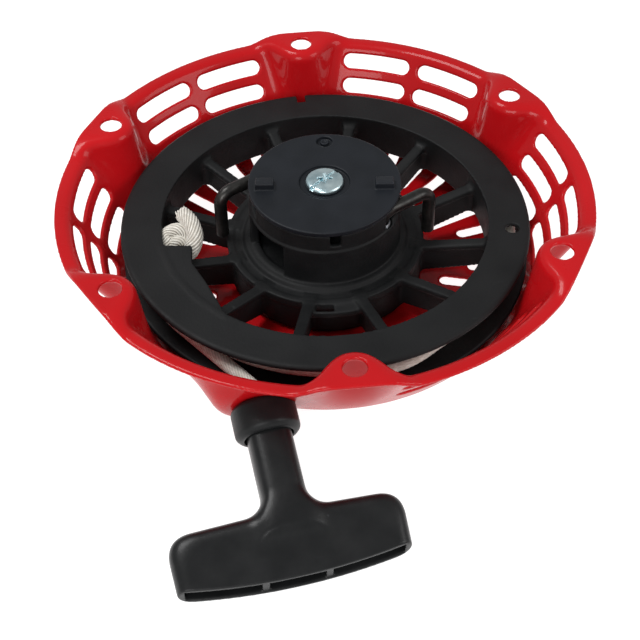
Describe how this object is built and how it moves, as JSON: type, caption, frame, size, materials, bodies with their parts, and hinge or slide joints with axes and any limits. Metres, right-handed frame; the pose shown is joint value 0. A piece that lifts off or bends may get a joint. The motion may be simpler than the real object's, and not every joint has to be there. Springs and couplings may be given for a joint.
{
  "type": "recoil starter",
  "caption": "Recoil starter for a small engine: a dished sheet-metal case holding a sprung rope reel, two swinging pawls, a ratchet guide and a pull handle on a rope.",
  "frame": {"origin": "on the shaft axis, in the plane of the six mounting tabs' top faces", "axes": "+Z along the shaft axis out of the open engine side, +Y through one mounting hole, the rope handle towards -Y"},
  "size_m": [0.1978, 0.2398, 0.0559],
  "materials": {
    "red_enamel": "gloss",
    "zinc_steel": "satin",
    "outlet_plastic": "satin",
    "reel_plastic": "matte",
    "guide_plastic": "satin",
    "grip_plastic": "satin",
    "rope_fibre": "matte",
    "oxide_steel": "satin",
    "spring_steel": "satin"
  },
  "bodies": {
    "case": {"case_shell": "red_enamel", "centre_post": "zinc_steel", "rope_guide": "outlet_plastic", "rope_run": "rope_fibre", "centre_screw": "zinc_steel"},
    "reel": {"reel": "reel_plastic", "recoil_spring": "spring_steel", "rope_wound": "rope_fibre", "rope_knot": "rope_fibre"},
    "guide": {"ratchet_guide": "guide_plastic", "friction_spring": "spring_steel"},
    "pawl_left": {"pawl_left": "oxide_steel", "pawl_spring_left": "spring_steel"},
    "pawl_right": {"pawl_right": "oxide_steel", "pawl_spring_right": "spring_steel"},
    "handle": {"grip": "grip_plastic", "grip_rope": "rope_fibre", "grip_knot": "rope_fibre", "rope_lead": "rope_fibre"}
  },
  "joints": [
    {"name": "reel_spin", "type": "hinge", "parent": "case", "child": "reel", "pos_m": [0, 0, 0], "axis": [0, 0, 1], "range_deg": [0, 900], "stiffness_Nm_per_rad": 0.045, "springref_deg": -401.07, "deforming": ["recoil_spring", "rope_run"]},
    {"name": "handle_pull", "type": "slide", "parent": "case", "child": "handle", "axis": [0.1308, -0.9305, -0.342], "range_m": [0, 1.092], "deforming": ["rope_lead"]},
    {"name": "guide_turn", "type": "hinge", "parent": "reel", "child": "guide", "pos_m": [0, 0, 0], "axis": [0, 0, 1], "range_deg": [-10, 0], "stiffness_Nm_per_rad": 0.02, "springref_deg": 5.73},
    {"name": "pawl_left_swing", "type": "hinge", "parent": "reel", "child": "pawl_left", "pos_m": [-0.01885, 0.0142, 0], "axis": [0, 0, 1], "range_deg": [-22, 0]},
    {"name": "pawl_right_swing", "type": "hinge", "parent": "reel", "child": "pawl_right", "pos_m": [0.01885, -0.0142, 0], "axis": [0, 0, 1], "range_deg": [-22, 0]}
  ],
  "couplings": [
    {"joint": "handle_pull", "follows": "reel_spin", "m_per_rad": 0.0695},
    {"joint": "pawl_left_swing", "follows": "guide_turn", "ratio": 2.2},
    {"joint": "pawl_right_swing", "follows": "guide_turn", "ratio": 2.2}
  ]
}
